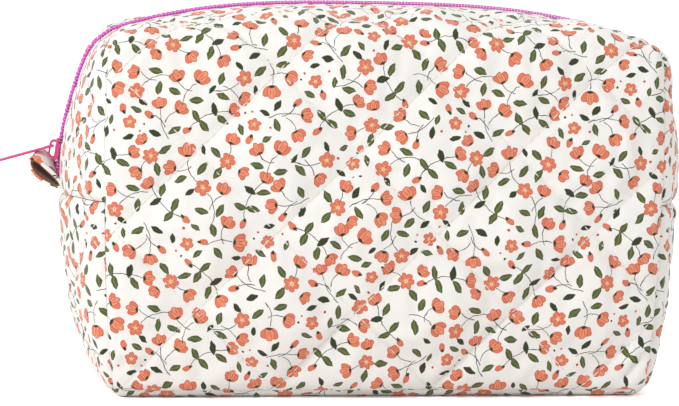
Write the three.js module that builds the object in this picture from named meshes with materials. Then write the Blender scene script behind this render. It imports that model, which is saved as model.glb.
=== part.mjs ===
// A quilted box pouch: a soft cotton shell over wadding and lining, closed by a coil zip
// that runs over the top and down both ends to a side seam at half height.
// Millimetres, +Z up, the front faces -Y, and the origin is the middle of the flat base.
import * as THREE from 'three';

// Driving dimensions of the sewn box, before it is stuffed.
const HALF_LENGTH = 128.5;
const HALF_DEPTH = 60;
const HEIGHT = 160;
const EDGE_RADIUS = 10;
const SEAM_GAP = 0.4;

// How far the stuffing pushes each face out, and how much the box narrows to its base.
const END_BULGE = 18;
const END_BULGE_START = 103;
const END_BULGE_RUN = 21;
const WALL_BULGE = 9;
const SHOULDER_BULGE = 3;
const TOP_DOME = 11.5;
const SHOULDER_DOME = 5;
const BASE_TAPER = 0.03;

// Cloth layers, as depths below the outer surface.
const SHELL = [0, 0.8];
const WADDING = [1.1, 3.4];
const LINING = [3.8, 4.6];
const TAPE = [1.2, 1.7];
const COIL = [-0.9, 0.8];
const BINDING = [4.9, 9];

// Where each layer of the zip starts and ends, as distances from its centre line.
const SHELL_EDGE = 4.2;
const WADDING_EDGE = 14.5;
const LINING_EDGE = 8;
const TAPE_SPAN = [14, 0.6];
const COIL_SPAN = [3.2, 0.6];
const ZIP_FOOT = 90;
const STOP_SPAN = [95, 98];
const COIL_FOOT = 98.5;

// The top flaps lift between their free edges; the cloth beyond them stays with the ends.
const FLAP_HALF = 100;

// The slider, its bridge and its puller, in the slider's own frame: x out, z up the zip.
const SLIDER_HEIGHT = 107;
const SLIDER_LENGTH = 11;
const SLIDER_WIDTH = 8;
const PLATE = 1.2;
const PLATE_LOW = [-3.2, -2.0];
const PLATE_HIGH = [1.25, 2.45];
const POST_WIDTH = 0.6;
const BRIDGE_HEIGHT = [2.75, 5.2];
const PIN = { x: 3.5, z: 1.5, radius: 0.45 };
const PULLER = { length: 27, width: 6.4, thickness: 1.1, eye: 4.2, arm: 1, droop: 16 };

// The ribbon loop in the left side seam.
const LOOP = { foot: [-147.4, 90.6], rise: 50, length: 18.5, width: 9, thickness: 1, ribbon: 14 };

// The seam across each end, which the zip runs down to.
const END_SEAM = 88;

// The side bulge is an arc through the base and the top edge, which the slider follows.
const MID_HEIGHT = HEIGHT / 2;
const ARC_RADIUS = (MID_HEIGHT ** 2 + END_BULGE ** 2) / (2 * END_BULGE);
const ARC_CENTRE_X = ARC_RADIUS - HALF_LENGTH - END_BULGE;

const COTTON = { color: 0xf6f2ec, roughness: 0.9 };
const FLEECE = { color: 0xffffff, roughness: 1 };
const LINEN = { color: 0xf3efe6, roughness: 0.9 };
const PINK_TAPE = { color: 0xe070c0, roughness: 0.8 };
const PINK_NYLON = { color: 0xe46ac6, roughness: 0.4 };
const PINK_METAL = { color: 0xd84c94, roughness: 0.35 };

const bag = new THREE.Group();

function add(name, geometry, look) {
  const mesh = new THREE.Mesh(geometry, new THREE.MeshStandardMaterial({ metalness: 0, ...look }));
  mesh.name = name;
  bag.add(mesh);
  return mesh;
}

function smooth(value) {
  const s = THREE.MathUtils.clamp(value, 0, 1);
  return s * s * (3 - 2 * s);
}

function parabola(value, half) {
  return Math.max(0, 1 - (value / half) ** 2);
}

function arcProfile(z) {
  const rise = Math.min(Math.abs(z - MID_HEIGHT), MID_HEIGHT);
  return (Math.sqrt(ARC_RADIUS ** 2 - rise ** 2) - (ARC_RADIUS - END_BULGE)) / END_BULGE;
}

// Moves a point of the plain rounded box to where the stuffing pushes it.
function stuffed(p) {
  const along = parabola(p.x, HALF_LENGTH);
  const across = parabola(p.y, HALF_DEPTH);
  const ridge = Math.max(0, 1 - Math.abs(p.x / HALF_LENGTH) ** 3);
  const upper = Math.max(0, p.z / HEIGHT) ** 4;
  const lower = Math.max(0, 1 - p.z / MID_HEIGHT);
  const taper = 1 - BASE_TAPER * lower ** 2;
  const nearEnd = smooth((Math.abs(p.x) - END_BULGE_START) / END_BULGE_RUN);
  const endPush = END_BULGE * arcProfile(p.z) * across * nearEnd;
  const wallPush = (WALL_BULGE * arcProfile(p.z) + SHOULDER_BULGE * upper) * along
    * smooth(Math.abs(p.y) / HALF_DEPTH);
  return new THREE.Vector3(
    (p.x + Math.sign(p.x) * endPush) * taper,
    (p.y + Math.sign(p.y) * wallPush) * taper,
    p.z + (TOP_DOME * across + SHOULDER_DOME) * ridge * upper,
  );
}

// The point at a depth below the place (x, y, z) of the sharp box, once rounded and stuffed.
function place(x, y, z, depth) {
  const corner = new THREE.Vector3(
    THREE.MathUtils.clamp(x, EDGE_RADIUS - HALF_LENGTH, HALF_LENGTH - EDGE_RADIUS),
    THREE.MathUtils.clamp(y, EDGE_RADIUS - HALF_DEPTH, HALF_DEPTH - EDGE_RADIUS),
    THREE.MathUtils.clamp(z, EDGE_RADIUS, HEIGHT - EDGE_RADIUS),
  );
  const outward = new THREE.Vector3(x, y, z).sub(corner).normalize();
  return stuffed(corner.addScaledVector(outward, EDGE_RADIUS - depth));
}

// A closed slab over a grid of places, between two depths.
function slab(us, vs, [high, low], at) {
  const points = [];
  for (const depth of [high, low]) {
    for (const v of vs) {
      for (const u of us) {
        points.push(at(u, v, depth));
      }
    }
  }
  const columns = us.length;
  const rows = vs.length;
  const index = (layer, row, column) => (layer * rows + row) * columns + column;
  const triangles = [];
  const quad = (a, b, c, d) => triangles.push(a, b, c, a, c, d);
  for (let row = 0; row + 1 < rows; row += 1) {
    for (let column = 0; column + 1 < columns; column += 1) {
      const corners = [[row, column], [row, column + 1], [row + 1, column + 1], [row + 1, column]];
      const [a, b, c, d] = corners.map(([r, k]) => index(0, r, k));
      const [e, f, g, h] = corners.map(([r, k]) => index(1, r, k));
      quad(a, b, c, d);
      quad(e, h, g, f);
    }
  }
  const rim = [];
  for (let column = 0; column + 1 < columns; column += 1) rim.push([0, column]);
  for (let row = 0; row + 1 < rows; row += 1) rim.push([row, columns - 1]);
  for (let column = columns - 1; column > 0; column -= 1) rim.push([rows - 1, column]);
  for (let row = rows - 1; row > 0; row -= 1) rim.push([row, 0]);
  rim.forEach(([row, column], i) => {
    const [nextRow, nextColumn] = rim[(i + 1) % rim.length];
    quad(index(0, nextRow, nextColumn), index(0, row, column),
      index(1, row, column), index(1, nextRow, nextColumn));
  });
  return closedBody(points, triangles);
}

// A geometry whose faces point out, whichever way round its grid was built.
function closedBody(points, triangles) {
  let volume = 0;
  for (let i = 0; i < triangles.length; i += 3) {
    const [a, b, c] = [0, 1, 2].map((k) => points[triangles[i + k]]);
    volume += a.dot(b.clone().cross(c));
  }
  const geometry = new THREE.BufferGeometry().setFromPoints(points);
  geometry.setIndex(volume > 0 ? triangles : triangles.reverse());
  return geometry;
}

function mirrored(half) {
  return [...half.map((value) => -value), ...half.slice(0, -1).reverse()];
}

// Grid lines: close together round the folded edges, wide apart on the faces.
const LENGTH_LINES = [HALF_LENGTH - SEAM_GAP / 2, 125, 118.5, FLAP_HALF, 66, 33, 0];
const DEPTH_LINES = [HALF_DEPTH - SEAM_GAP / 2, 56.5, 50, 36, 22];
const LOWER_LINES = [SEAM_GAP / 2, 3.5, 10, 45];
const UPPER_LINES = [98, 114, 130, 140, 150, 156.5];
const WALL_LINES = [...LOWER_LINES, MID_HEIGHT, 115, 150, 156.5, HEIGHT - SEAM_GAP / 2];

function walls(layer, name, look) {
  for (const [side, way] of [['front', -1], ['back', 1]]) {
    add(`${side}_${name}`, slab(mirrored(LENGTH_LINES), WALL_LINES, layer,
      (u, v, depth) => place(u, way * HALF_DEPTH, v, depth)), look);
  }
  add(`base_${name}`, slab(mirrored(LENGTH_LINES), mirrored([...DEPTH_LINES, 0]), layer,
    (u, v, depth) => place(u, v, 0, depth)), look);
}

function lowerEnds(layer, name, look) {
  const heights = [...LOWER_LINES, MID_HEIGHT, END_SEAM - SEAM_GAP / 2];
  for (const [side, way] of [['left', -1], ['right', 1]]) {
    add(`${side}_end_${name}`, slab(mirrored([...DEPTH_LINES, 0]), heights, layer,
      (u, v, depth) => place(way * HALF_LENGTH, u, v, depth)), look);
  }
}

// Upper end cloth climbs from the side seam and turns over the shoulder to the flap.
function upperEnd(name, endWay, sideWay, depths, heights, layer, look) {
  const over = [HEIGHT, HEIGHT + 3.5, HEIGHT + 10, HEIGHT + HALF_LENGTH - FLAP_HALF - SEAM_GAP];
  add(name, slab(depths, [...heights, ...over], layer, (u, v, depth) => {
    const past = Math.max(0, v - HEIGHT);
    return place(endWay * (HALF_LENGTH - past), sideWay * u, Math.min(v, HEIGHT), depth);
  }), look);
}

function flap(name, sideWay, depths, layer, look) {
  const lines = mirrored(LENGTH_LINES.filter((x) => x <= FLAP_HALF));
  add(name, slab(lines, depths, layer, (u, v, depth) => place(u, sideWay * v, HEIGHT, depth)), look);
}

// Every layer that meets the zip comes in four end pieces and two flap pieces.
function zipSided(name, depths, heights, layer, look) {
  for (const [side, sideWay] of [['front', -1], ['back', 1]]) {
    for (const [end, endWay] of [['left', -1], ['right', 1]]) {
      upperEnd(`${end}_${side}_${name}`, endWay, sideWay, depths, heights, layer, look);
    }
    flap(`${side}_flap_${name}`, sideWay, depths, layer, look);
  }
}

function clothLayer(layer, name, edge, look) {
  const zipLines = [WADDING_EDGE, LINING_EDGE, SHELL_EDGE].filter((y) => y >= edge);
  walls(layer, name, look);
  lowerEnds(layer, name, look);
  zipSided(name, [...DEPTH_LINES, ...zipLines], [END_SEAM + SEAM_GAP / 2, ...UPPER_LINES],
    layer, look);
}

function zip() {
  const fine = [106, 114, 122, 130, 135, 140, 145, 150, 156.5];
  const tapeLines = [TAPE_SPAN[0], LINING_EDGE, SHELL_EDGE, TAPE_SPAN[1]];
  zipSided('zip_tape', tapeLines, [ZIP_FOOT, COIL_FOOT, ...fine], TAPE, PINK_TAPE);
  zipSided('zip_coil', COIL_SPAN, [COIL_FOOT, ...fine], COIL, PINK_NYLON);
  for (const [end, way] of [['left', -1], ['right', 1]]) {
    add(`${end}_zip_stop`, slab([-COIL_SPAN[0], COIL_SPAN[0]], STOP_SPAN, COIL,
      (u, v, depth) => place(way * HALF_LENGTH, u, v, depth)), PINK_METAL);
  }
}

// Bound seam allowances stand inside the four upright corners.
function bindings() {
  const half = 0.6 * Math.SQRT1_2;
  const heights = [12, 45, MID_HEIGHT, 115, 148];
  for (const [side, sideWay] of [['front', -1], ['back', 1]]) {
    for (const [end, endWay] of [['left', -1], ['right', 1]]) {
      const at = (u, v, depth) => {
        const reach = (EDGE_RADIUS - depth) * Math.SQRT1_2 - EDGE_RADIUS;
        return stuffed(new THREE.Vector3(
          endWay * (HALF_LENGTH + reach + u),
          sideWay * (HALF_DEPTH + reach - u),
          v,
        ));
      };
      add(`${end}_${side}_seam_binding`, slab([-half, half], heights, BINDING, at), COTTON);
    }
  }
}

function extruded(outline, width, holes = []) {
  const shape = new THREE.Shape(outline);
  shape.holes = holes.map((hole) => new THREE.Path(hole));
  const geometry = new THREE.ExtrudeGeometry(shape, { depth: width, bevelEnabled: false });
  return geometry.translate(0, 0, -width / 2);
}

function points2(pairs) {
  return pairs.map(([x, y]) => new THREE.Vector2(x, y));
}

// Stands a piece on the left end's arc: its x points out of the bag and its z up the zip.
function onArc(mesh, angle, x = 0, z = 0, droop = 0) {
  const tilt = THREE.MathUtils.degToRad(angle);
  const turn = tilt + THREE.MathUtils.degToRad(droop);
  const radius = ARC_RADIUS + x;
  mesh.position.set(
    ARC_CENTRE_X - radius * Math.cos(tilt) + z * Math.sin(tilt),
    0,
    MID_HEIGHT + radius * Math.sin(tilt) + z * Math.cos(tilt),
  );
  mesh.rotation.set(0, turn, Math.PI, 'YXZ');
}

function sliderBody() {
  const [low, high] = [PLATE_LOW, PLATE_HIGH];
  const half = SLIDER_WIDTH / 2;
  const post = POST_WIDTH / 2;
  const outline = points2([
    [low[0], -half], [low[1], -half], [low[1], -post], [high[0], -post], [high[0], -half],
    [high[1], -half], [high[1], half], [high[0], half], [high[0], post], [low[1], post],
    [low[1], half], [low[0], half],
  ]);
  return extruded(outline, SLIDER_LENGTH);
}

// The bridge is an arch over the top plate, extruded across the zip.
function sliderBridge() {
  const [foot, crown] = BRIDGE_HEIGHT;
  const outline = points2([
    [foot, -4.5], [crown - 1, -4.5], [crown, -3.5], [crown, 3.5], [crown - 1, 4.5], [foot, 4.5],
    [foot, 3.3], [crown - 1, 3.3], [crown - 1, -3.3], [foot, -3.3],
  ]);
  return extruded(outline, 1.6).rotateX(Math.PI / 2);
}

// A flat tab with an eye at its root; the bar of the eye is the pin inside the bridge.
function pullerTab() {
  const { length, width, thickness, eye, arm } = PULLER;
  const half = width / 2;
  const root = half * 0.8;
  const bar = PIN.radius;
  const outline = points2([
    [-bar, -root], [eye + arm, -root], [length * 0.45, -half], [length - 2, -half], [length, -half + 2],
    [length, half - 2], [length - 2, half], [length * 0.45, half], [eye + arm, root], [-bar, root],
  ]);
  const hole = points2([
    [bar, arm - root], [bar, root - arm], [eye, root - arm], [eye, arm - root],
  ]);
  return extruded(outline, thickness, [hole]);
}

function puller() {
  const angle = THREE.MathUtils.radToDeg(Math.asin((SLIDER_HEIGHT - MID_HEIGHT) / ARC_RADIUS));
  onArc(add('slider_body', sliderBody(), PINK_METAL), angle);
  onArc(add('slider_bridge', sliderBridge(), PINK_METAL), angle);
  onArc(add('puller_tab', pullerTab(), PINK_METAL), angle, PIN.x, PIN.z, -angle - PULLER.droop);
}

// The ribbon is folded into an egg-shaped loop, seen along Y, and sewn in at its narrow foot.
function loopOutline(offset) {
  const { foot, rise, length, width } = LOOP;
  const axis = new THREE.Vector2(-1, 0).rotateAround(new THREE.Vector2(), -THREE.MathUtils.degToRad(rise));
  const side = new THREE.Vector2(axis.y, -axis.x);
  const steps = 20;
  const points = [];
  for (let i = 0; i < steps; i += 1) {
    const turn = (i / steps) * 2 * Math.PI;
    const along = (1 - Math.cos(turn)) / 2;
    const reach = offset + along * (length - 2 * offset);
    const spread = (width / 2 - offset) * Math.sin(turn) * (0.6 + 0.5 * along);
    points.push(new THREE.Vector2(
      foot[0] + axis.x * reach + side.x * spread,
      foot[1] + axis.y * reach + side.y * spread,
    ));
  }
  return points;
}

function sideLoop() {
  const geometry = extruded(loopOutline(0), LOOP.ribbon, [loopOutline(LOOP.thickness)]);
  add('side_loop', geometry.rotateX(Math.PI / 2), COTTON);
}

clothLayer(SHELL, 'shell', SHELL_EDGE, COTTON);
clothLayer(WADDING, 'wadding', WADDING_EDGE, FLEECE);
clothLayer(LINING, 'lining', LINING_EDGE, LINEN);
zip();
bindings();
puller();
sideLoop();

export default bag;
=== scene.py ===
"""Looks of the quilted makeup bag: printed cloth, quilting thread, zip, slider, puller and loop.

Lengths in the builders below are millimetres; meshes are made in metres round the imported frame.
"""
import math
import random

import bmesh
import bpy
import numpy as np
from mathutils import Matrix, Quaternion, Vector


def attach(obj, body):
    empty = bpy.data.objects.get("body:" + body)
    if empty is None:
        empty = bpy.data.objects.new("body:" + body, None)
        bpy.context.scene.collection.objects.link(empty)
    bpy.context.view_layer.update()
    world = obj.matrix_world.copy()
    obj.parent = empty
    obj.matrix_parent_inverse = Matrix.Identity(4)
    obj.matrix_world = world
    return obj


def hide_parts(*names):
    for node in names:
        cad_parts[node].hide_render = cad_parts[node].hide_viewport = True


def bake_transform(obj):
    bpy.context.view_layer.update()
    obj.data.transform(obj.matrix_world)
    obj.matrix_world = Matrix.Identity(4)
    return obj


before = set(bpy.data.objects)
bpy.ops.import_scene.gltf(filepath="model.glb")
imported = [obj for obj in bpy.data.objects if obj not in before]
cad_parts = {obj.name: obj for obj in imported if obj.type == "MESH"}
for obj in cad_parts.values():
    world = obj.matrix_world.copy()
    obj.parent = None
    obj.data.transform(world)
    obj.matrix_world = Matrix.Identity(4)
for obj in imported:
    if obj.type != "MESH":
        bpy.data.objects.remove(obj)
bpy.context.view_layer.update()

MM = 0.001

# The sewn box and how the stuffing swells it, as in the design.
HALF_LENGTH = 128.5
HALF_DEPTH = 60.0
HEIGHT = 160.0
EDGE_RADIUS = 10.0
END_BULGE = 18.0
END_BULGE_START = 103.0
END_BULGE_RUN = 21.0
WALL_BULGE = 9.0
SHOULDER_BULGE = 3.0
LOWER_SLACK = 3.4
SLACK_HEIGHT = 68.0
SLACK_ABOVE = 46.0
SLACK_BELOW = 62.0
TOP_DOME = 11.5
SHOULDER_DOME = 5.0
BASE_TAPER = 0.03
MID_HEIGHT = HEIGHT / 2
END_SEAM = 88.0
ARC_RADIUS = (MID_HEIGHT**2 + END_BULGE**2) / (2 * END_BULGE)

# Cloth.
QUILT_DEPTH = 3.4
LINING_DEPTHS = (3.8, 4.6)
ZIP_EDGE = 4.2
LINING_EDGE = 8.0
QUILT_PITCH = 72.0
QUILT_RISING = -54.0
QUILT_FALLING = 24.0
GRID = 2.0
SEAM_GAP = 0.2
STITCH_LENGTH = 3.3
STITCH_PITCH = 3.9
THREAD_RADIUS = 0.26
TOPSTITCH_INSET = 2.6

# Creases near the lower corners of the long sides: cloth points from and to, and depth.
CORNER_FOLDS = (
    ((122.0, 21.0), (113.0, 7.0), 2.4),
    ((119.0, 38.0), (124.0, 24.0), 1.1),
    ((-123.0, 30.0), (-120.0, 12.0), 1.6),
    ((-112.0, 14.0), (-100.0, 6.0), 1.0),
)

# Cloth simulation.
SIM_GRID = 2.8
SIM_FRAMES = 16
SIM_PRESSURE = 6.0
SIM_SLACK = 0.05
SIM_LOWEST = -1.0
SIM_HIGHEST = 5.0

# Zip.
TOOTH_PITCH = 1.5
TOOTH_SIZE = (0.98, 3.3, 2.0)
TOOTH_OFFSET = 1.35
ZIP_PROUD = 0.45
ZIP_FOOT = 90.0
COIL_FOOT = 98.0
STOP_HEIGHT = 96.5
COIL_STITCH_PITCH = 2.2
COIL_STITCH_OFFSET = 1.9
COIL_STITCH_RISE = 0.95

HINGES = {"front": -1, "back": 1}
ENDS = {"left": -1, "right": 1}


# ---------------------------------------------------------------- shape

def smooth(value):
    s = np.clip(value, 0.0, 1.0)
    return s * s * (3 - 2 * s)


def parabola(value, half):
    return np.maximum(0.0, 1 - (value / half) ** 2)


def arc_profile(z):
    rise = np.minimum(np.abs(z - MID_HEIGHT), MID_HEIGHT)
    return (np.sqrt(ARC_RADIUS**2 - rise**2) - (ARC_RADIUS - END_BULGE)) / END_BULGE


def stuffed(p):
    """Moves points of the plain rounded box to where the stuffing pushes them."""
    x, y, z = p[..., 0], p[..., 1], p[..., 2]
    along = parabola(x, HALF_LENGTH)
    across = parabola(y, HALF_DEPTH)
    ridge = np.maximum(0.0, 1 - np.abs(x / HALF_LENGTH) ** 3)
    upper = np.maximum(0.0, z / HEIGHT) ** 4
    lower = np.maximum(0.0, 1 - z / MID_HEIGHT)
    taper = 1 - BASE_TAPER * lower**2
    near_end = smooth((np.abs(x) - END_BULGE_START) / END_BULGE_RUN)
    from_slack = (z - SLACK_HEIGHT) / np.where(z > SLACK_HEIGHT, SLACK_ABOVE, SLACK_BELOW)
    sunk = np.cos(np.clip(from_slack, -1, 1) * math.pi / 2) ** 2
    end_push = (END_BULGE * arc_profile(z) - LOWER_SLACK * sunk) * across * near_end
    wall_push = (
        (WALL_BULGE * arc_profile(z) + SHOULDER_BULGE * upper)
        * along
        * smooth(np.abs(y) / HALF_DEPTH)
    )
    return np.stack(
        [
            (x + np.sign(x) * end_push) * taper,
            (y + np.sign(y) * wall_push) * taper,
            z + (TOP_DOME * across + SHOULDER_DOME) * ridge * upper,
        ],
        axis=-1,
    )


def place(x, y, z, depth=0.0):
    """The cloth's point at a depth below a place of the sharp box."""
    q = np.stack(np.broadcast_arrays(x, y, z), axis=-1).astype(float)
    low = np.array([EDGE_RADIUS - HALF_LENGTH, EDGE_RADIUS - HALF_DEPTH, EDGE_RADIUS])
    high = np.array([HALF_LENGTH - EDGE_RADIUS, HALF_DEPTH - EDGE_RADIUS, HEIGHT - EDGE_RADIUS])
    core = np.clip(q, low, high)
    out = q - core
    out /= np.linalg.norm(out, axis=-1, keepdims=True)
    return stuffed(core + out * (EDGE_RADIUS - depth))


def noise(u, v, cell, seed):
    """Smooth value noise from -1 to 1 on cells of the given size."""
    table = np.random.default_rng(seed).uniform(-1, 1, (64, 64))
    a, b = np.asarray(u) / cell + 7.3, np.asarray(v) / cell + 11.9
    i, j = np.floor(a).astype(int), np.floor(b).astype(int)
    fa, fb = smooth(a - i), smooth(b - j)
    top = table[i % 64, j % 64] * (1 - fa) + table[(i + 1) % 64, j % 64] * fa
    low = table[i % 64, (j + 1) % 64] * (1 - fa) + table[(i + 1) % 64, (j + 1) % 64] * fa
    return top * (1 - fb) + low * fb


def lines(start, stop, step=GRID):
    """Grid lines from start to stop, closer together near both ends."""
    near = np.array([0.0, 0.5, 1.1, 1.9, 2.9])
    count = max(2, round((abs(stop - start) - 2 * near[-1] - 2) / step))
    middle = np.linspace(near[-1] + 1.2, abs(stop - start) - near[-1] - 1.2, count)
    steps = np.concatenate([near, middle, abs(stop - start) - near[::-1]])
    return start + np.sign(stop - start) * steps


class Panel:
    """A piece of cloth: a regular grid of points, their outward normals and cloth coordinates."""

    def __init__(self, us, vs, at, origin=(0.0, 0.0), flip=1):
        grid_u, grid_v = np.meshgrid(us, vs)
        self.at = at
        self.us, self.vs = us, vs
        self.base = at(grid_u, grid_v, 0.0)
        mid_row = self.base[len(vs) // 2]
        mid_column = self.base[:, len(us) // 2]
        self.cu = origin[0] + flip * _arc(mid_row, us)
        self.cv = origin[1] + _arc(mid_column, vs)
        self.normal = _normals(self.base)
        self.u, self.v = np.meshgrid(self.cu, self.cv)
        self.height = np.zeros_like(self.u)

    def surface(self):
        return self.base + self.normal * self.height[..., None]

    def inner(self, depth):
        grid_u, grid_v = np.meshgrid(self.us, self.vs)
        return self.at(grid_u, grid_v, depth)

    def edge_distances(self):
        """Cloth distance to the four edges: low u, high u, low v, high v."""
        u, v = np.abs(self.u - self.cu[0]), np.abs(self.v - self.cv[0])
        return u, u.max() - u, v, v.max() - v

    def sample(self, u, v):
        """Points and normals of the finished surface at cloth coordinates."""
        cu, cv = self.cu, self.cv
        if cu[0] > cu[-1]:
            a = np.interp(u, cu[::-1], np.arange(len(cu))[::-1])
        else:
            a = np.interp(u, cu, np.arange(len(cu)))
        b = np.interp(v, cv, np.arange(len(cv)))
        points = self.surface()
        normals = _normals(points)
        return _bilinear(points, b, a), _unit(_bilinear(normals, b, a))


def _arc(points, params):
    """Arc length along a row of points, zero where its parameter is zero or at its start."""
    steps = np.linalg.norm(np.diff(points, axis=0), axis=1)
    length = np.concatenate([[0.0], np.cumsum(steps)])
    if params.min() < 0 < params.max():
        length -= np.interp(0.0, params, length) if params[0] < params[-1] else 0.0
    return length


def _unit(vectors):
    return vectors / np.maximum(np.linalg.norm(vectors, axis=-1, keepdims=True), 1e-9)


def _normals(points):
    along_v, along_u = np.gradient(points, axis=0), np.gradient(points, axis=1)
    normals = _unit(np.cross(along_u, along_v))
    centre = np.array([0.0, 0.0, MID_HEIGHT])
    if np.mean(np.sum(normals * (points - centre), axis=-1)) < 0:
        normals = -normals
    return normals


def _bilinear(grid, rows, columns):
    i = np.clip(np.floor(rows).astype(int), 0, grid.shape[0] - 2)
    j = np.clip(np.floor(columns).astype(int), 0, grid.shape[1] - 2)
    fr, fc = (rows - i)[..., None], (columns - j)[..., None]
    top = grid[i, j] * (1 - fc) + grid[i, j + 1] * fc
    low = grid[i + 1, j] * (1 - fc) + grid[i + 1, j + 1] * fc
    return top * (1 - fr) + low * fr


# ---------------------------------------------------------------- quilting

def quilt_distances(panel, u=None, v=None):
    """Distance from cloth points to the nearest stitched line of each direction."""
    u = panel.u if u is None else u
    v = panel.v if v is None else v
    half = QUILT_PITCH / 2
    rising = np.abs((u - v - QUILT_RISING + half) % QUILT_PITCH - half) / math.sqrt(2)
    falling = np.abs((u + v - QUILT_FALLING + half) % QUILT_PITCH - half) / math.sqrt(2)
    return rising, falling


def quilt(panel, seed, puff):
    """Puffs between the stitched lines, with small gathers beside the thread."""
    rising, falling = quilt_distances(panel)
    near = np.minimum(rising, falling)
    pillow = (1 - np.exp(-rising / 7.5)) * (1 - np.exp(-falling / 7.5))
    pull_a = noise(panel.u + panel.v, rising * 0.4, 5.5, seed)
    pull_b = noise(panel.u - panel.v, falling * 0.4, 5.5, seed + 1)
    gathers = 0.35 * (
        pull_a * np.exp(-rising / 6) * (1 - np.exp(-rising / 0.8))
        + pull_b * np.exp(-falling / 6) * (1 - np.exp(-falling / 0.8))
    )
    slack = 0.7 * noise(panel.u, panel.v, 26, seed + 2) + 0.35 * noise(panel.u, panel.v, 11, seed + 3)
    groove = 1.1 * np.exp(-((near / 1.5) ** 1.3))
    panel.height += puff * pillow + gathers + slack * (1 - np.exp(-near / 9)) - groove


def blow_up(panel, seed, share):
    """Cloth simulation of the quilted layer: held at its seams and thread, blown out between them.

    The extra cloth buckles into the gathers beside the stitches. What each point moved along its
    normal, times the share, is added to the panel's height.
    """
    cu = np.linspace(panel.cu[0], panel.cu[-1], max(8, round(abs(np.ptp(panel.cu)) / SIM_GRID)))
    cv = np.linspace(panel.cv[0], panel.cv[-1], max(8, round(abs(np.ptp(panel.cv)) / SIM_GRID)))
    u, v = np.meshgrid(cu, cv)
    flat = panel.height
    panel.height = np.zeros_like(flat)
    points, normals = panel.sample(u.ravel(), v.ravel())
    panel.height = flat
    rising, falling = quilt_distances(panel, u, v)
    edge = np.minimum.reduce([abs(u - cu[0]), abs(u - cu[-1]), abs(v - cv[0]), abs(v - cv[-1])])
    held = (np.minimum(np.minimum(rising, falling), edge) < SIM_GRID * 0.55).ravel()
    start = points + normals * (0.25 * noise(u, v, 7.0, seed).ravel() * ~held)[:, None]
    rows, columns = u.shape
    flip = np.mean(np.sum(np.cross(points[1] - points[0], points[columns] - points[0]) * normals[0])) < 0
    sheet = mesh_object("simulated_layer", start, grid_faces(rows, columns, 0, bool(flip)))
    group = sheet.vertex_groups.new(name="held")
    group.add([int(i) for i in np.flatnonzero(held)], 1.0, "REPLACE")
    cloth = sheet.modifiers.new("cloth", "CLOTH")
    settings = cloth.settings
    settings.vertex_group_mass = "held"
    settings.quality = 4
    settings.mass = 0.15
    settings.tension_stiffness = 12
    settings.compression_stiffness = 12
    settings.shear_stiffness = 4
    settings.bending_stiffness = 0.4
    settings.air_damping = 4
    settings.use_pressure = True
    settings.uniform_pressure_force = SIM_PRESSURE
    settings.shrink_min = -SIM_SLACK
    settings.effector_weights.gravity = 0
    scene = bpy.context.scene
    for number in range(1, SIM_FRAMES + 1):
        scene.frame_set(number)
    moved = sheet.evaluated_get(bpy.context.evaluated_depsgraph_get()).data
    found = np.empty(len(points) * 3)
    moved.vertices.foreach_get("co", found)
    rise = np.sum((found.reshape(-1, 3) / MM - points) * normals, axis=1)
    rise = np.clip(rise, SIM_LOWEST, SIM_HIGHEST).reshape(rows, columns)[..., None]
    bpy.data.objects.remove(sheet)
    scene.frame_set(1)
    order = np.arange(columns) if cu[0] < cu[-1] else np.arange(columns)[::-1]
    a = np.interp(panel.u, np.sort(cu), order)
    b = np.interp(panel.v, cv, np.arange(rows))
    panel.height += share * _bilinear(rise, b, a)[..., 0]


def seam(panel, distance, along, seed, depth=1.5, gather=0.55):
    """The cloth turns in at a seam and gathers beside it."""
    ridge = noise(along, distance * 0.15, 7.0, seed) + 0.5 * noise(along, distance * 0.2, 3.6, seed + 5)
    panel.height *= 1 - np.exp(-distance / 5.0)
    panel.height += gather * ridge * np.exp(-distance / 9) * (1 - np.exp(-distance / 1.5))
    panel.height -= depth * np.exp(-((distance / 1.6) ** 1.5))


def corner_fold(panel, start, end, depth):
    """A crease between two cloth points, with a soft roll of cloth beside it."""
    (u0, v0), (u1, v1) = start, end
    du, dv = u1 - u0, v1 - v0
    along = np.clip(((panel.u - u0) * du + (panel.v - v0) * dv) / (du**2 + dv**2), 0, 1)
    away = np.hypot(panel.u - u0 - along * du, panel.v - v0 - along * dv)
    fade = smooth(4 * along) * smooth(4 * (1 - along)) * 0.7 + 0.3
    roll = 0.55 * np.exp(-(((away - 4) / 3) ** 2))
    panel.height += depth * fade * (roll - np.exp(-((away / 1.5) ** 1.4)))


def zip_edge(panel, distance, along, seed):
    """The folded edge beside the zip, held flat by its topstitching."""
    flat = 1 - np.exp(-((distance / 24.0) ** 2))
    panel.height *= flat
    panel.height += 0.3 * np.exp(-distance / 3.0) - 0.7 * np.exp(-((distance - 2.6) / 0.7) ** 2)
    panel.height += 0.25 * noise(along, distance * 0.3, 5.0, seed) * np.exp(-distance / 8)
    panel.height -= 1.2 * np.clip(1 - distance / 1.1, 0, 1) ** 2


# ---------------------------------------------------------------- meshes

def linked(name, data):
    """A new object in the scene."""
    made = bpy.data.objects.new(name, data)
    bpy.context.scene.collection.objects.link(made)
    return made


def mesh_object(name, points, faces, material=None, uv=None):
    """A mesh in metres from millimetre points; uv gives cloth coordinates for each point."""
    mesh = bpy.data.meshes.new(name)
    mesh.from_pydata((np.asarray(points) * MM).tolist(), [], [list(map(int, f)) for f in faces])
    mesh.validate()
    if uv is not None:
        layer = mesh.uv_layers.new(name="cloth")
        loops = np.empty(len(mesh.loops), dtype=np.int32)
        mesh.loops.foreach_get("vertex_index", loops)
        layer.data.foreach_set("uv", (np.asarray(uv) * MM)[loops].ravel())
    mesh.polygons.foreach_set("use_smooth", np.full(len(mesh.polygons), True))
    piece = linked(name, mesh)
    if material is not None:
        mesh.materials.append(material)
    return piece


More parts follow.
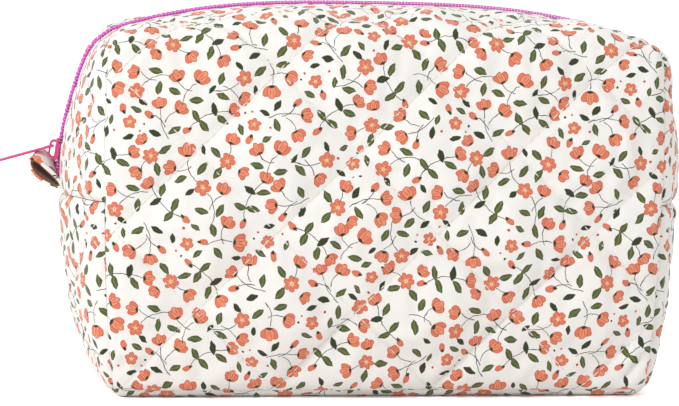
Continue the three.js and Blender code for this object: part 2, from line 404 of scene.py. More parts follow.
def grid_faces(rows, columns, start=0, flip=False):
    i, j = np.meshgrid(np.arange(rows - 1), np.arange(columns - 1), indexing="ij")
    a = start + i * columns + j
    quads = np.stack([a, a + 1, a + columns + 1, a + columns], axis=-1).reshape(-1, 4)
    return quads[:, ::-1] if flip else quads


def rim_faces(rows, columns, offset, flip=False):
    ring = list(range(columns))
    ring += [i * columns + columns - 1 for i in range(1, rows)]
    ring += [(rows - 1) * columns + j for j in range(columns - 2, -1, -1)]
    ring += [i * columns for i in range(rows - 2, 0, -1)]
    quads = [
        (b, a, a + offset, b + offset)
        for a, b in zip(ring, ring[1:] + ring[:1])
    ]
    return [q[::-1] for q in quads] if flip else quads


def thick_sheet(name, outer, inner, uv, material):
    """A closed body between two grids of points, faces outward."""
    rows, columns = outer.shape[:2]
    count = rows * columns
    i, j = rows // 2, columns // 2
    up = np.cross(outer[i, j + 1] - outer[i, j], outer[i + 1, j] - outer[i, j])
    flip = float(np.dot(up, outer[i, j] - inner[i, j])) < 0
    faces = list(grid_faces(rows, columns, 0, flip))
    faces += list(grid_faces(rows, columns, count, not flip))
    faces += rim_faces(rows, columns, count, flip)
    points = np.concatenate([outer.reshape(-1, 3), inner.reshape(-1, 3)])
    return mesh_object(name, points, faces, material, np.concatenate([uv, uv]))


def repeated(name, template, faces, origins, axes, material):
    """Copies of one small mesh, each turned onto its own three axes, joined in one piece."""
    template = np.asarray(template, float)
    placed = np.einsum("nij,kj->nki", np.stack(axes, axis=-1), template) + origins[:, None, :]
    count = len(template)
    all_faces = [
        [index + k * count for index in face] for k in range(len(origins)) for face in faces
    ]
    return mesh_object(name, placed.reshape(-1, 3), all_faces, material)


BEAD_RINGS = (0.0, 0.38, 0.5, 0.5, 0.38, 0.0)


def capsule(length, width, height, sides=6, rings=BEAD_RINGS):
    """A rounded bead along x: points and faces."""
    stations = np.linspace(-0.5, 0.5, len(rings))
    points, faces = [], []
    points.append((-length / 2, 0, 0))
    inner = [(s, r) for s, r in zip(stations, rings) if r > 0]
    for station, radius in inner:
        for k in range(sides):
            turn = 2 * math.pi * k / sides
            points.append(
                (station * length, radius * width * math.cos(turn), radius * height * math.sin(turn))
            )
    points.append((length / 2, 0, 0))
    last = len(points) - 1
    for k in range(sides):
        after = (k + 1) % sides
        faces.append((0, 1 + after, 1 + k))
        base = 1 + (len(inner) - 1) * sides
        faces.append((last, base + k, base + after))
        for ring in range(len(inner) - 1):
            a = 1 + ring * sides
            faces.append((a + k, a + after, a + sides + after, a + sides + k))
    return points, faces


def stitches(name, panel, path, material, length=STITCH_LENGTH, pitch=STITCH_PITCH,
             radius=THREAD_RADIUS):
    """A row of thread stitches along cloth lines: path is a list of (start, end) cloth points."""
    starts, ends = [], []
    for (u0, v0), (u1, v1) in path:
        total = math.hypot(u1 - u0, v1 - v0)
        for k in range(int(total / pitch)):
            a = (k * pitch + (pitch - length) / 2) / total
            b = a + length / total
            starts.append((u0 + (u1 - u0) * a, v0 + (v1 - v0) * a))
            ends.append((u0 + (u1 - u0) * b, v0 + (v1 - v0) * b))
    starts, ends = np.array(starts), np.array(ends)
    first, normal = panel.sample(starts[:, 0], starts[:, 1])
    second, _ = panel.sample(ends[:, 0], ends[:, 1])
    centre = (first + second) / 2
    spans = second - first
    along = _unit(spans)
    across = _unit(np.cross(normal, along))
    up = np.cross(along, across)
    template, faces = capsule(length, 2 * radius, 2 * radius)
    return repeated(name, template, faces, centre + up * radius * 0.55, [along, across, up], material)


def clipped_lines(panel, margin):
    """The quilting lines of both directions, cut to the panel less a margin."""
    low_u, high_u = sorted((panel.cu[0], panel.cu[-1]))
    low_v, high_v = sorted((panel.cv[0], panel.cv[-1]))
    low_u, high_u, low_v, high_v = (
        low_u + margin, high_u - margin, low_v + margin, high_v - margin,
    )
    found = []
    for slope, offset in ((1, QUILT_RISING), (-1, QUILT_FALLING)):
        for k in range(-12, 13):
            at = offset + k * QUILT_PITCH
            first, last = low_v, high_v
            for bound, is_low in ((low_u, True), (high_u, False)):
                v = slope * (bound - at)
                if (slope > 0) == is_low:
                    first = max(first, v)
                else:
                    last = min(last, v)
            if last - first > 6:
                found.append(((at + slope * first, first), (at + slope * last, last)))
    return found


# ---------------------------------------------------------------- placements baked into meshes


def open_with(piece):
    """Bakes the piece's placement into its mesh and reads out its points; the points are not changed."""
    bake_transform(piece)
    count = len(piece.data.vertices)
    points = np.empty(count * 3, dtype=np.float32)
    piece.data.vertices.foreach_get("co", points)


# ---------------------------------------------------------------- node building

def linear(red, green, blue, alpha=1.0):
    """A screen colour from 0 to 255 as the shader's linear colour."""
    def one(value):
        value /= 255
        return value / 12.92 if value <= 0.04045 else ((value + 0.055) / 1.055) ** 2.4
    return (one(red), one(green), one(blue), alpha)


class Nodes:
    """Short names for adding shader nodes; an input may be a socket, a number or a tuple."""

    def __init__(self, tree):
        self.tree = tree

    def add(self, kind, inputs=(), output=0, **settings):
        node = self.tree.nodes.new(kind)
        for key, value in settings.items():
            setattr(node, key, value)
        self.put(node, inputs if isinstance(inputs, dict) else dict(enumerate(inputs)))
        return node if output is None else node.outputs[output]

    def put(self, node, inputs):
        for key, value in inputs.items():
            if isinstance(value, bpy.types.NodeSocket):
                self.tree.links.new(value, node.inputs[key])
            elif value is not None:
                node.inputs[key].default_value = value

    def speckle(self, vector, scale, detail, output=0):
        inputs = {"Vector": vector, "Scale": scale, "Detail": detail}
        return self.add("ShaderNodeTexNoise", inputs, output)

    def ramp(self, value, low, high, to_low, to_high):
        inputs = {0: value, 1: low, 2: high, 3: to_low, 4: to_high}
        return self.add("ShaderNodeMapRange", inputs, 0)

    def bump(self, height, strength, distance):
        inputs = {"Height": height, "Strength": strength, "Distance": distance}
        return self.add("ShaderNodeBump", inputs, 0)

    def math(self, operation, *values, clamp=False):
        return self.add("ShaderNodeMath", values, operation=operation, use_clamp=clamp)

    def minus(self, first, second):
        return self.math("SUBTRACT", first, second)

    def vector(self, operation, *values, output=0):
        return self.add("ShaderNodeVectorMath", values, output, operation=operation)

    def turn(self, vector, angle):
        return self.add(
            "ShaderNodeVectorRotate", {"Vector": vector, "Angle": angle}, rotation_type="Z_AXIS"
        )

    def mix(self, factor, first, second):
        inputs = {0: factor, 6: first, 7: second}
        return self.add("ShaderNodeMix", inputs, 2, data_type="RGBA")

    def mix_vector(self, factor, first, second):
        inputs = {0: factor, 4: first, 5: second}
        return self.add("ShaderNodeMix", inputs, 1, data_type="VECTOR")

    def length(self, vector):
        return self.vector("LENGTH", vector, output="Value")

    def split(self, vector):
        node = self.add("ShaderNodeSeparateXYZ", (vector,), None)
        return node.outputs[0], node.outputs[1]


# ---------------------------------------------------------------- printed cloth

TILE = (147.0, 109.0)
EDGE_SOFTNESS = 0.16
SPOT_GAP = 0.9
PRINT_SCALE = 1.02
SPRIG_COLUMNS = 8
SPRIG_ROWS = 6
CLOTH_WHITE = linear(249, 246, 241)
CORAL = linear(226, 129, 97)
CORAL_DEEP = linear(206, 74, 46)
CORAL_PALE = linear(238, 153, 120)
CREAM = linear(252, 232, 190)
LEAF = linear(90, 102, 52)
LEAF_DARK = linear(58, 66, 40)
LEAF_PALE = linear(122, 134, 80)
INK = linear(44, 46, 38)


def polar(x, y, degrees, reach):
    """The point a distance away from (x, y) in a direction."""
    turn = math.radians(degrees)
    return x + math.cos(turn) * reach, y + math.sin(turn) * reach


class Sprig(Nodes):
    """One motif of the print, painted in its own millimetre coordinates."""

    def __init__(self, tree, local, colour):
        super().__init__(tree)
        self.local = local
        self.colour = colour

    def paint(self, inside, colour):
        """Colours where inside (a signed distance, mm) is above zero."""
        mask = self.math("MULTIPLY_ADD", inside, 1 / EDGE_SOFTNESS, 0.5, clamp=True)
        self.colour = self.mix(mask, self.colour, colour)

    def turned_at(self, x, y, degrees):
        shifted = self.vector("SUBTRACT", self.local, (x, y, 0))
        return self.turn(shifted, -math.radians(degrees))

    def blade_and_aside(self, x, y, degrees, length, width):
        """A pointed oval along its own axis, and the distance from that axis."""
        along, across = self.split(self.turned_at(x, y, degrees))
        fall = self.math("MULTIPLY", along, along)
        edge = self.math("MULTIPLY_ADD", fall, -2 * width / length**2, width / 2)
        aside = self.math("ABSOLUTE", across)
        return self.minus(edge, aside), aside

    def blade(self, x, y, degrees, length, width):
        return self.blade_and_aside(x, y, degrees, length, width)[0]

    def oval(self, x, y, degrees, length, width):
        scale = (2 / length, 2 / width, 0)
        scaled = self.vector("MULTIPLY", self.turned_at(x, y, degrees), scale)
        return self.math("MULTIPLY_ADD", self.length(scaled), -width / 2, width / 2)

    def leaf(self, x, y, degrees, length=6.0, width=2.7, colour=LEAF):
        """A pointed leaf: dark rim, lighter blade, pale midrib."""
        inside, aside = self.blade_and_aside(x, y, degrees, length, width)
        self.paint(inside, LEAF_DARK)
        blade = self.minus(inside, 0.36)
        self.paint(blade, colour)
        if colour is LEAF:
            self.paint(self.math("MINIMUM", self.minus(0.16, aside), blade), LEAF_PALE)

    def dot(self, x, y, radius, colour):
        distance = self.vector("DISTANCE", self.local, (x, y, 0), output="Value")
        self.paint(self.minus(radius, distance), colour)

    def stem(self, start, end, bow, width=0.17):
        """A thin arc from start to end, bowed to its left."""
        (x0, y0), (x1, y1) = start, end
        half = math.hypot(x1 - x0, y1 - y0) / 2
        radius = (half**2 + bow**2) / (2 * bow)
        mid = ((x0 + x1) / 2, (y0 + y1) / 2)
        side = (-(y1 - y0) / (2 * half), (x1 - x0) / (2 * half))
        centre = (mid[0] - side[0] * (radius - bow), mid[1] - side[1] * (radius - bow), 0)
        crown = (mid[0] + side[0] * bow, mid[1] + side[1] * bow, 0)
        away = self.vector("DISTANCE", self.local, centre, output="Value")
        ring = self.math("ABSOLUTE", self.minus(away, abs(radius)))
        reach = self.vector("DISTANCE", self.local, crown, output="Value")
        within = self.minus(half, reach)
        self.paint(self.math("MINIMUM", self.minus(width, ring), within), INK)

    def bloom(self, x, y, radius, petals=5, turn=0.0):
        """An open flower: round petals cut by dark notches, pale middle."""
        shifted = self.vector("SUBTRACT", self.local, (x, y, 0))
        along, across = self.split(shifted)
        angle = self.math("ARCTAN2", across, along)
        wave = self.math("SINE", self.math("MULTIPLY_ADD", angle, petals / 2, turn))
        lobe = self.math("POWER", self.math("ABSOLUTE", wave), 0.55)
        away = self.length(shifted)
        rim = self.math("MULTIPLY_ADD", lobe, radius * 0.42, radius * 0.62)
        inside = self.minus(rim, away)
        self.paint(inside, CORAL_DEEP)
        self.paint(self.minus(inside, 0.26), CORAL)
        rays = self.math("MULTIPLY_ADD", lobe, radius * 0.62, -0.12 * radius)
        self.paint(self.minus(rays, away), CORAL_PALE)
        notch = self.math("MULTIPLY", self.minus(0.3, lobe), radius)
        reach = self.minus(radius * 0.72, away)
        self.paint(self.math("MINIMUM", notch, reach), CORAL_DEEP)
        self.paint(self.minus(radius * 0.2, away), CREAM)
        self.paint(self.minus(radius * 0.08, away), CORAL_DEEP)

    def cup(self, x, y, degrees, length=6.4):
        """A side-on bloom: three broad overlapping petals over dark sepals."""
        for swing, colour, share in ((-38, CORAL, 0.92), (38, CORAL, 0.92), (0, CORAL_PALE, 1.0)):
            middle = polar(x, y, degrees + swing, length * 0.4)
            inside = self.oval(*middle, degrees + swing, length * share, length * 0.62)
            self.paint(inside, CORAL_DEEP)
            self.paint(self.minus(inside, 0.24), colour)
        for swing in (-13, 12):
            middle = polar(x, y, degrees + swing, length * 0.42)
            self.paint(self.oval(*middle, degrees + swing * 0.7, length * 0.5, 0.3), CORAL_DEEP)
        self.paint(self.blade(x, y, degrees + 90, length * 0.46, length * 0.22), LEAF_DARK)

    def bud(self, x, y, degrees, length=3.4):
        inside = self.oval(x, y, degrees, length, length * 0.62)
        self.paint(inside, CORAL_DEEP)
        self.paint(self.minus(inside, 0.2), CORAL)
        foot = polar(x, y, degrees, -length * 0.42)
        self.paint(self.blade(*foot, degrees, length * 0.45, length * 0.32), LEAF_DARK)


def tall_flower(s):
    s.stem((-2.5, -10), (0.3, 4), -2.2)
    s.stem((-1.2, -3.5), (6.4, 0.5), 0.9)
    s.leaf(3.2, -5.4, 40, 6.8, 3.1)
    s.leaf(-4.6, -2.6, 140, 6.6, 3.0)
    s.cup(6.6, 1.6, 45, 5.6)
    s.bloom(-0.4, 6.8, 3.6)
    s.leaf(-6.4, 7.0, 195, 5.2, 2.4, LEAF_DARK)


def nodding_cup(s):
    s.stem((4.0, -9.5), (-0.3, 1.5), 1.8)
    s.stem((1.2, -2.2), (-6.2, -4.2), 1.1)
    s.leaf(-3.6, -8.4, 205, 6.6, 3.0)
    s.leaf(5.9, -3.4, 50, 7.0, 3.2)
    s.cup(-6.4, -3.6, 165, 5.8)
    s.cup(-0.5, 2.4, 100, 6.6)
    s.leaf(6.4, 5.2, 100, 4.8, 2.1, LEAF_DARK)


def bud_spray(s):
    s.stem((1.5, -8.5), (-1.0, 6.5), 1.6)
    s.stem((0.2, -3.0), (-6.0, 3.4), -1.2)
    s.stem((0.2, -1.0), (6.2, 4.2), 1.1)
    s.cup(-1.2, 6.6, 98, 5.6)
    s.bud(-6.8, 4.0, 135, 4.6)
    s.cup(6.2, 4.0, 40, 5.8)
    s.leaf(4.2, -4.6, 25, 6.6, 2.9)
    s.leaf(-4.6, -5.0, 150, 6.2, 2.8, LEAF_DARK)


def leafy_stem(s):
    s.stem((-9.5, -3.5), (9.0, 4.0), 2.6)
    s.leaf(-6.4, 2.4, 115, 6.6, 3.0)
    s.leaf(-2.8, -2.2, -50, 7.0, 3.1)
    s.leaf(1.8, 5.2, 100, 6.6, 2.9, LEAF_DARK)
    s.leaf(5.6, 0.4, -35, 6.8, 3.0)
    s.cup(9.0, 4.2, 20, 5.4)
    s.bud(-10.4, -4.2, 205, 4.4)


def round_rose(s):
    s.stem((-8.5, 2.5), (0.0, 0.0), 1.3)
    s.leaf(4.9, -4.2, -38, 6.8, 3.2)
    s.leaf(-4.6, -4.0, 215, 6.6, 3.0)
    s.cup(-7.6, 3.2, 150, 5.6)
    s.cup(5.2, 5.6, 60, 5.0)
    s.bloom(0.2, 0.8, 3.6, 6, 1.2)


def scattered_bits(s):
    s.leaf(-5.4, 4.4, 60, 5.4, 2.4, LEAF_DARK)
    s.leaf(6.2, 4.6, 120, 5.0, 2.3)
    s.leaf(1.5, -6.6, 15, 5.6, 2.5)
    s.bloom(-0.6, -0.6, 3.0, 5, 0.5)
    s.bud(6.2, -3.0, 330, 4.4)
    s.dot(-5.8, -4.4, 0.55, INK)
    s.dot(-6.6, -1.2, 0.5, CORAL_DEEP)
    s.dot(1.2, 6.6, 0.6, CORAL_DEEP)


SPRIGS = (leafy_stem, bud_spray, scattered_bits, nodding_cup, round_rose, tall_flower)


class Footprint:
    """Stands in for a Sprig and notes how much room each flower and leaf takes."""

    def __init__(self):
        self.spots = []

    def bloom(self, x, y, radius, petals=5, turn=0.0):
        self.spots.append((x, y, radius))

    def cup(self, x, y, degrees, length=6.4):
        self.spots.append((*polar(x, y, degrees, length * 0.4), length * 0.52))

    def bud(self, x, y, degrees, length=3.4):
        self.spots.append((x, y, length * 0.45))

    def leaf(self, x, y, degrees, length=6.0, width=2.7, colour=LEAF):
        for share in (-0.25, 0.25):
            self.spots.append((*polar(x, y, degrees, length * share), width * 0.55))

    def dot(self, x, y, radius, colour):
        self.spots.append((x, y, radius))

    def stem(self, start, end, bow, width=0.17):
        self.spots.append(((start[0] + end[0]) / 2, (start[1] + end[1]) / 2, 0.3))


def footprint(motif):
    print_of = Footprint()
    motif(print_of)
    return np.array(print_of.spots)


def crowding(spots, others):
    """How badly two sets of spots (x, y, radius) overlap on the wrapped tile."""
    dx = np.abs(spots[:, None, 0] - others[None, :, 0]) % TILE[0]
    dy = np.abs(spots[:, None, 1] - others[None, :, 1]) % TILE[1]
    away = np.hypot(np.minimum(dx, TILE[0] - dx), np.minimum(dy, TILE[1] - dy))
    room = spots[:, None, 2] + others[None, :, 2] + SPOT_GAP
    return float((np.maximum(0.0, room - away) ** 2).sum())


def turned_spots(spots, x, y, turn):
    c, s = math.cos(turn), math.sin(turn)
    return np.stack([
        x + spots[:, 0] * c - spots[:, 1] * s, y + spots[:, 0] * s + spots[:, 1] * c, spots[:, 2],
    ], axis=-1)


def staggered_places():
    """Places of the motifs on the wrapped tile: staggered rows, dealt out at random."""
    pitch_x, pitch_y = TILE[0] / SPRIG_COLUMNS, TILE[1] / SPRIG_ROWS
    places = [
        ((column + 0.5 * (row % 2)) * pitch_x, row * pitch_y)
        for row in range(SPRIG_ROWS) for column in range(SPRIG_COLUMNS)
    ]
    random.Random(5).shuffle(places)
    return places


def _wrapped(a, b):
    dx = abs(a[0] - b[0])
    dy = abs(a[1] - b[1])
    return math.hypot(min(dx, TILE[0] - dx), min(dy, TILE[1] - dy))


def deal_places():
    """Places for each motif; each place goes to the motif whose other copies are furthest off.

    Each copy then takes, in two rounds, the turn and small shift that crowd its neighbours least.
    """
    hands = [[] for _ in SPRIGS]
    for spot in staggered_places():
        hand = max(hands, key=lambda held: min((_wrapped(spot, other) for other in held), default=1e9))
        hand.append(spot)
    shapes = [footprint(motif) for motif in SPRIGS]
    copies = [(kind, spot) for kind, held in enumerate(hands) for spot in held]
    turns = [2 * math.pi * k / 15 for k in range(15)]
    shifts = [(dx, dy) for dx in (-2.0, 0.0, 2.0) for dy in (-2.0, 0.0, 2.0)]
    chosen = {}
    for _ in range(2):
        for index, (kind, (x, y)) in enumerate(copies):
            placed = [spots for other, (spots, _) in chosen.items() if other != index]
            others = np.concatenate(placed) if placed else np.array([[-99.0, -99.0, 0.0]])
            best = None
            for dx, dy in shifts:
                for turn in turns:
                    spots = turned_spots(shapes[kind], x + dx, y + dy, turn + index)
                    crowd = crowding(spots, others) + 0.02 * math.hypot(dx, dy)
                    if best is None or crowd < best[0]:
                        best = (crowd, spots, (x + dx, y + dy, turn + index))
            chosen[index] = best[1:]
    dealt = [[] for _ in SPRIGS]
    for index, (kind, _) in enumerate(copies):
        dealt[kind].append(chosen[index][1])
    return dealt


def print_group():
    """A node group from cloth coordinates (metres) to the colour of the printed cotton."""
    group = bpy.data.node_groups.new("floral_print", "ShaderNodeTree")
    group.interface.new_socket("Cloth", in_out="INPUT", socket_type="NodeSocketVector")
    group.interface.new_socket("Ground", in_out="INPUT", socket_type="NodeSocketColor")
    group.interface.new_socket("Color", in_out="OUTPUT", socket_type="NodeSocketColor")
    entry = group.nodes.new("NodeGroupInput")
    leave = group.nodes.new("NodeGroupOutput")
    n = Nodes(group)
    scaled = n.vector("MULTIPLY", entry.outputs["Cloth"], (1000, 1000, 0))
    wobble = n.speckle(scaled, 0.35, 1.0, "Color")
    drift = n.vector("MULTIPLY", n.vector("SUBTRACT", wobble, (0.5, 0.5, 0.5)), (1.3, 1.3, 0))
    cloth = n.vector("ADD", scaled, drift)
    colour = entry.outputs["Ground"]
    half = (TILE[0] / 2, TILE[1] / 2, 1)
    for motif, places in zip(SPRIGS, deal_places()):
        best, nearest = None, None
        for x, y, turn in places:
            shifted = n.vector("SUBTRACT", cloth, (x, y, 0))
            wrapped = n.vector("WRAP", shifted, half, tuple(-side for side in half))
            away = n.length(wrapped)
            local = n.turn(wrapped, -turn)
            if best is None:
                best, nearest = local, away
                continue
            closer = n.math("LESS_THAN", away, nearest)
            best = n.mix_vector(closer, best, local)
            nearest = n.math("MINIMUM", away, nearest)
        sprig = Sprig(group, best, colour)
        motif(sprig)
        colour = sprig.colour
    group.links.new(colour, leave.inputs["Color"])
    return group


# ---------------------------------------------------------------- materials

def new_material(name):
    material = bpy.data.materials.new(name)
    material.use_nodes = True
    tree = material.node_tree
    return material, Nodes(tree), tree.nodes["Principled BSDF"]


def cloth_coordinates(n):
    return n.add("ShaderNodeUVMap", (), 0, uv_map="cloth")


def object_coordinates(n):
    return n.add("ShaderNodeTexCoord", (), None).outputs["Object"]


def toned(colour, gain, lift=0.0):
    return tuple(min(1.0, c * gain + lift) for c in colour[:3]) + (1.0,)


def weave_height(n, cloth, pitch):
    """A plain weave of the given thread pitch (m), with uneven yarns."""
    scale = 2 * math.pi / pitch
    warp, weft = [n.math("SINE", n.math("MULTIPLY", way, scale)) for way in n.split(cloth)]
    return n.math("MULTIPLY_ADD", n.math("MULTIPLY", warp, weft), 0.5, n.speckle(cloth, 900.0, 3.0))


def finish_cloth(n, shader, cloth, colour, pitch=0.00055, bump=0.35, roughness=0.86):
    """Weave, fuzz, sheen and a slight unevenness of tone on a cloth colour."""
    cloud = n.speckle(cloth, 55.0, 4.0)
    shaded = n.vector("SCALE", colour)
    n.put(shaded.node, {"Scale": n.ramp(cloud, 0.3, 0.7, 0.965, 1.0)})
    n.put(shader, {
        "Base Color": shaded,
        "Normal": n.bump(weave_height(n, cloth, pitch), bump, 0.00008),
        "Roughness": n.ramp(cloud, 0.2, 0.8, roughness - 0.05, roughness + 0.06),
        "Sheen Weight": 0.3,
        "Sheen Roughness": 0.45,
        "Specular IOR Level": 0.25,
    })


def printed_cotton(name):
    material, n, shader = new_material(name)
    cloth = cloth_coordinates(n)
    printed = n.add("ShaderNodeGroup", (), None)
    printed.node_tree = print_group()
    source = n.vector("MULTIPLY", cloth, (PRINT_SCALE, PRINT_SCALE, 1))
    n.put(printed, {"Cloth": source, "Ground": CLOTH_WHITE})
    finish_cloth(n, shader, cloth, printed.outputs["Color"])
    return material


def plain_cloth(name, colour, pitch=0.0006, bump=0.4):
    material, n, shader = new_material(name)
    cloth = cloth_coordinates(n)
    mottled = n.mix(n.speckle(cloth, 420.0, 2.0), colour, toned(colour, 1.06))
    finish_cloth(n, shader, cloth, mottled, pitch, bump, roughness=0.88)
    return material


def thread_material(name, colour):
    """Spun thread: a fine twist and a slight fuzz."""
    material, n, shader = new_material(name)
    fibre = n.speckle(object_coordinates(n), 2600.0, 2.0)
    n.put(shader, {
        "Base Color": n.mix(fibre, toned(colour, 0.9), colour),
        "Normal": n.bump(fibre, 0.4, 0.00006),
        "Roughness": 0.6,
        "Sheen Weight": 0.3,
    })
    return material


def nylon(name, colour):
    """Moulded coil: slightly translucent, with fine draw lines and wear at random."""
    material, n, shader = new_material(name)
    streak = n.speckle(object_coordinates(n), 700.0, 3.0)
    n.put(shader, {
        "Base Color": n.mix(streak, toned(colour, 0.78), colour),
        "Roughness": n.ramp(streak, 0.3, 0.7, 0.28, 0.42),
        "Normal": n.bump(streak, 0.2, 0.00005),
        "Subsurface Weight": 0.15,
        "Subsurface Scale": 0.001,
    })
    return material


def enamel(name, colour):
    """Painted zinc: glossy, a little orange peel, with a painted highlight: paler pink in patches on
    sharp edges.
    """
    material, n, shader = new_material(name)
    place_at = object_coordinates(n)
    peel = n.speckle(place_at, 900.0, 2.0)
    patch = n.speckle(place_at, 260.0, 5.0)
    point = n.add("ShaderNodeNewGeometry", (), None).outputs["Pointiness"]
    # Painted highlight: sharp edges are painted paler pink, in patches.
    edge_highlight = n.math("MULTIPLY", n.ramp(point, 0.53, 0.62, 0.0, 0.6), patch)
    n.put(shader, {
        "Base Color": n.mix(edge_highlight, colour, toned(colour, 1.25, 0.12)),
        "Roughness": n.ramp(patch, 0.3, 0.7, 0.2, 0.36),
        "Normal": n.bump(peel, 0.08, 0.0001),
        "Coat Weight": 0.4,
        "Coat Roughness": 0.12,
    })
    return material


# ---------------------------------------------------------------- the cloth pieces

def wall_place(way):
    """Cloth of one long side: up the wall, then over the shoulder towards the zip."""
    def at(u, v, depth):
        over = np.maximum(0.0, v - HEIGHT)
        return place(u, way * (HALF_DEPTH - over), np.minimum(v, HEIGHT), depth)
    return at


def end_place(way):
    return lambda u, v, depth: place(way * HALF_LENGTH, u, v, depth)


def base_place(u, v, depth):
    return place(u, v, 0.0, depth)


def wall_lines():
    up = lines(SEAM_GAP, HEIGHT)[:-4]
    fold = np.arange(up[-1] + 1.5, HEIGHT + 12, 1.5)
    over = lines(fold[-1] + 1.0, HEIGHT + HALF_DEPTH - ZIP_EDGE)
    return np.concatenate([up, fold, over])


LENGTH_LINES = lines(-HALF_LENGTH + SEAM_GAP, HALF_LENGTH - SEAM_GAP)
DEPTH_LINES = lines(-HALF_DEPTH + SEAM_GAP, HALF_DEPTH - SEAM_GAP)


def cloth_uv(panel):
    return np.stack([panel.u, panel.v], axis=-1).reshape(-1, 2)


def ride_root(*pieces):
    for piece in pieces:
        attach(piece, "root")


def quilt_piece(name, panel, material, replaced):
    inner = panel.inner(QUILT_DEPTH)
    piece = thick_sheet(name, panel.surface(), inner, cloth_uv(panel), material)
    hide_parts(*replaced)
    return piece


def thread_row(name, panel, path, looks, *size):
    piece = stitches(name, panel, path, looks["thread"], *size)
    return piece


def quilt_thread(name, panel, looks):
    return thread_row(name, panel, clipped_lines(panel, 3.0), looks)


def topstitch(name, panel, path, looks):
    return thread_row(name, panel, path, looks, 2.3, 2.9, 0.22)


def long_side(side, looks):
    """Front or back: the wall, its shoulder and its half of the top."""
    way = HINGES[side]
    seed = 100 if way < 0 else 200
    panel = Panel(LENGTH_LINES * -way, wall_lines(), wall_place(way))
    quilt(panel, seed, puff=1.6)
    blow_up(panel, seed, 0.85)
    low_u, high_u, low_v, high_v = panel.edge_distances()
    upright = 0.35 + 1.15 * smooth((END_SEAM + 8 - panel.v) / 16)
    for number, distance in enumerate((low_u, high_u), 1):
        seam(panel, distance, panel.v, seed + 10 * number, depth=upright)
    seam(panel, low_v, panel.u, seed + 30, depth=0.9, gather=0.3)
    zip_edge(panel, high_v, panel.u, seed + 40)
    for start, end, depth in CORNER_FOLDS:
        corner_fold(panel, start, end, depth)
    cloth = quilt_piece(
        f"{side}_quilted_cloth", panel, looks["print"],
        [f"{side}_shell", f"{side}_wadding", f"{side}_flap_shell", f"{side}_flap_wadding"],
    )
    quilting = quilt_thread(f"{side}_quilting_stitches", panel, looks)
    edge_v = panel.cv[-1] - TOPSTITCH_INSET
    reach = HALF_LENGTH - 4
    zip_row = topstitch(
        f"{side}_zip_topstitching", panel, [((-reach, edge_v), (reach, edge_v))], looks
    )
    for piece in (cloth, quilting, zip_row):
        open_with(piece)
    return panel


def end_upper(end, side, looks, wall):
    """A quarter of one end, beside the zip; its print carries on from the long wall's."""
    end_way, side_way = ENDS[end], HINGES[side]
    seed = 300 + 40 * end_way + 20 * side_way
    us = side_way * lines(HALF_DEPTH - SEAM_GAP, ZIP_EDGE)
    vs = lines(END_SEAM + SEAM_GAP, HEIGHT - 0.1)
    at_start = (end == "left") == (side == "front")
    origin = (wall.cu[0 if at_start else -1], np.interp(END_SEAM, wall.vs, wall.cv))
    panel = Panel(us, vs, end_place(end_way), origin, flip=-1 if at_start else 1)
    quilt(panel, seed, puff=0.7)
    blow_up(panel, seed, 0.4)
    outer, inner_edge, low_v, _ = panel.edge_distances()
    seam(panel, outer, panel.v, seed + 1, depth=0.35, gather=0.3)
    seam(panel, low_v, panel.u, seed + 2, depth=2.2, gather=1.0)
    zip_edge(panel, inner_edge, panel.v, seed + 3)
    piece = quilt_piece(
        f"{end}_{side}_quilted_cloth", panel, looks["print"],
        [f"{end}_{side}_shell", f"{end}_{side}_wadding"],
    )
    quilting = quilt_thread(f"{end}_{side}_quilting_stitches", panel, looks)
    inset = panel.cu[-1] - math.copysign(TOPSTITCH_INSET, panel.cu[-1] - panel.cu[0])
    row = topstitch(
        f"{end}_{side}_zip_topstitching", panel,
        [((inset, panel.cv[0] + 3), (inset, panel.cv[-1] - 1))], looks,
    )
    ride_root(piece, quilting, row)


def end_lower(end, looks):
    way = ENDS[end]
    seed = 500 + 20 * way
    panel = Panel(DEPTH_LINES, lines(SEAM_GAP, END_SEAM - SEAM_GAP), end_place(way))
    quilt(panel, seed, puff=0.7)
    blow_up(panel, seed, 0.4)
    low_u, high_u, low_v, high_v = panel.edge_distances()
    for number, distance in enumerate((low_u, high_u), 1):
        seam(panel, distance, panel.v, seed + number)
    seam(panel, low_v, panel.u, seed + 3, depth=0.9, gather=0.3)
    panel.height += np.exp(-(((high_v - 5.0) / 3.5) ** 2)) * smooth(np.minimum(low_u, high_u) / 15)
    seam(panel, high_v, panel.u, seed + 4, depth=2.2, gather=1.0)
    piece = quilt_piece(
        f"{end}_end_quilted_cloth", panel, looks["print"],
        [f"{end}_end_shell", f"{end}_end_wadding"],
    )
    quilting = quilt_thread(f"{end}_end_quilting_stitches", panel, looks)
    ride_root(piece, quilting)


def base(looks):
    panel = Panel(LENGTH_LINES, DEPTH_LINES, base_place)
    rising, falling = quilt_distances(panel)
    near = np.minimum(rising, falling)
    panel.height -= 0.8 * np.exp(-near / 1.6)
    for distance, along, seed in zip(
        panel.edge_distances(), (panel.v, panel.v, panel.u, panel.u), (601, 602, 603, 604)
    ):
        seam(panel, distance, along, seed, depth=0.9, gather=0.2)
    panel.height = np.minimum(panel.height, 0.0)
    piece = quilt_piece(
        "base_quilted_cloth", panel, looks["print"], ["base_shell", "base_wadding"]
    )
    quilting = quilt_thread("base_quilting_stitches", panel, looks)
    ride_root(piece, quilting)


# ---------------------------------------------------------------- lining

